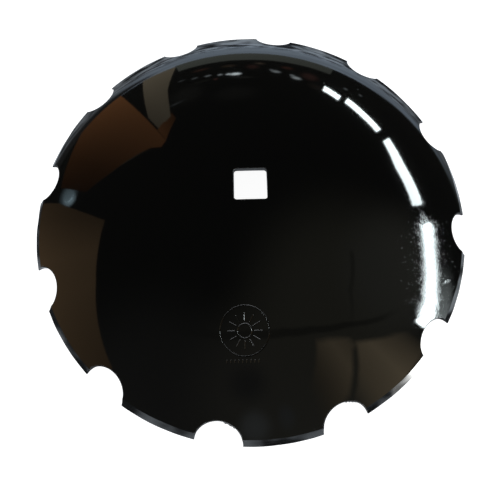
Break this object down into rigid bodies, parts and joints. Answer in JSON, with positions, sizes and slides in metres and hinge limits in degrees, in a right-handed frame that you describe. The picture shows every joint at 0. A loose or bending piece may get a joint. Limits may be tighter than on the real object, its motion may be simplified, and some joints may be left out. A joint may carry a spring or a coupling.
{
  "type": "harrow disc blade",
  "caption": "Dished round steel blade with scalloped notches round its bevelled rim and a square arbor hole, for a disc harrow gang.",
  "frame": {"origin": "on the disc axis, in the plane that the twelve teeth stand on, concave side down", "axes": "+Z along the disc axis, out of the convex crown; +X and +Y square to the flats of the arbor hole"},
  "size_m": [0.61, 0.61, 0.0886],
  "materials": {
    "painted_steel": "glossy black enamel over rolled steel, thin and slightly speckled, over ground bevel marks"
  },
  "bodies": {
    "root": {"disc_blade": "painted_steel"}
  },
  "joints": []
}
